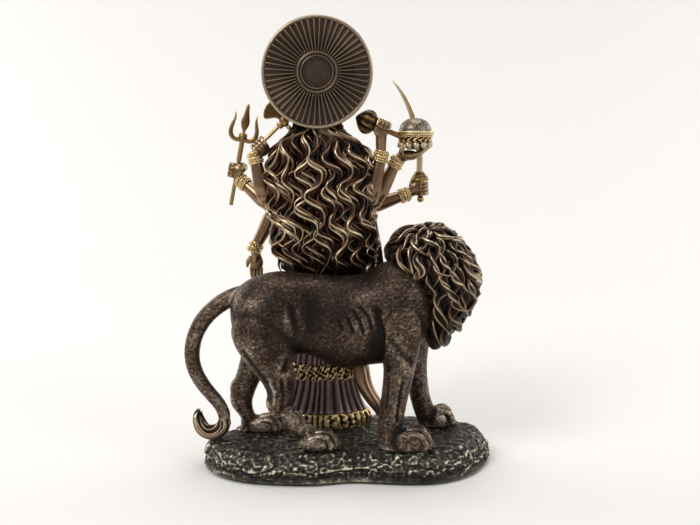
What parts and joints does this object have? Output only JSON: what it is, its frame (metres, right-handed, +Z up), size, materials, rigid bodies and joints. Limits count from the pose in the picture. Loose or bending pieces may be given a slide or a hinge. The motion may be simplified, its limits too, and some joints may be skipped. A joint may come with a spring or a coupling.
{
  "type": "deity statue",
  "caption": "Cast bronze-finish statue of a many-armed goddess with a round halo, standing by a lion on a rock; the trident lifts out of its hand.",
  "frame": {"origin": "middle of the felt pad's underside", "axes": "+Z up, +Y the way the goddess faces, +X the way the lion walks"},
  "size_m": [0.1854, 0.1142, 0.2654],
  "materials": {
    "rock": "cast resin rock, dark grey-green patina with rubbed pale gold edges",
    "felt": "dark green felt",
    "fur": "cold-cast bronze, dark brown with silvery fleck on the fur",
    "mane_hair": "cold-cast bronze, dark in the grooves and golden on the locks",
    "hair": "cold-cast bronze, near black with rubbed gold ridges",
    "skin": "smooth satin pale bronze",
    "cloth": "satin purple-brown patina",
    "gold_trim": "antique gold with dark recesses",
    "sweets": "grey bronze, rubbed",
    "blade_gold": "polished pale gold bronze",
    "halo": "matte brown bronze, paler on the rays and rim",
    "steel": "plain steel dowel"
  },
  "bodies": {
    "statue": {"arm_axe": "skin", "arm_blessing": "skin", "arm_bowl": "skin", "arm_dowels": "steel", "arm_lotus": "skin", "arm_mace": "skin", "arm_sword": "skin", "arm_trident": "skin", "arm_varada": "skin", "axe_head": "blade_gold", "axe_shaft": "blade_gold", "base_rock": "rock", "bent_leg": "skin", "bracelets": "gold_trim", "crown": "gold_trim", "felt_pad": "felt", "figure_dowel": "steel", "goddess_head": "skin", "goddess_torso": "skin", "hair": "hair", "halo_disc": "halo", "halo_dowel": "steel", "hip_belt": "gold_trim", "lion_body": "fur", "lion_head": "fur", "lion_mane": "mane_hair", "lion_neck_dowel": "steel", "lion_tail": "fur", "lotus_bud": "gold_trim", "mace_head": "gold_trim", "mace_shaft": "gold_trim", "neck_dowel": "steel", "offering_bowl": "gold_trim", "paw_dowels": "steel", "sash": "cloth", "skirt_hem": "gold_trim", "skirt_lower": "cloth", "skirt_upper": "cloth", "standing_foot": "skin", "sweets_heap": "sweets", "sword_blade": "blade_gold", "sword_hilt": "gold_trim", "tail_dowel": "steel", "tail_tuft": "mane_hair"},
    "trident": {"trident_shaft": "blade_gold", "trident_head": "blade_gold"}
  },
  "joints": [
    {"name": "trident_lift", "type": "slide", "parent": "statue", "child": "trident", "axis": [0.1899, 0, 0.9818], "range_m": [0, 0.03]}
  ]
}
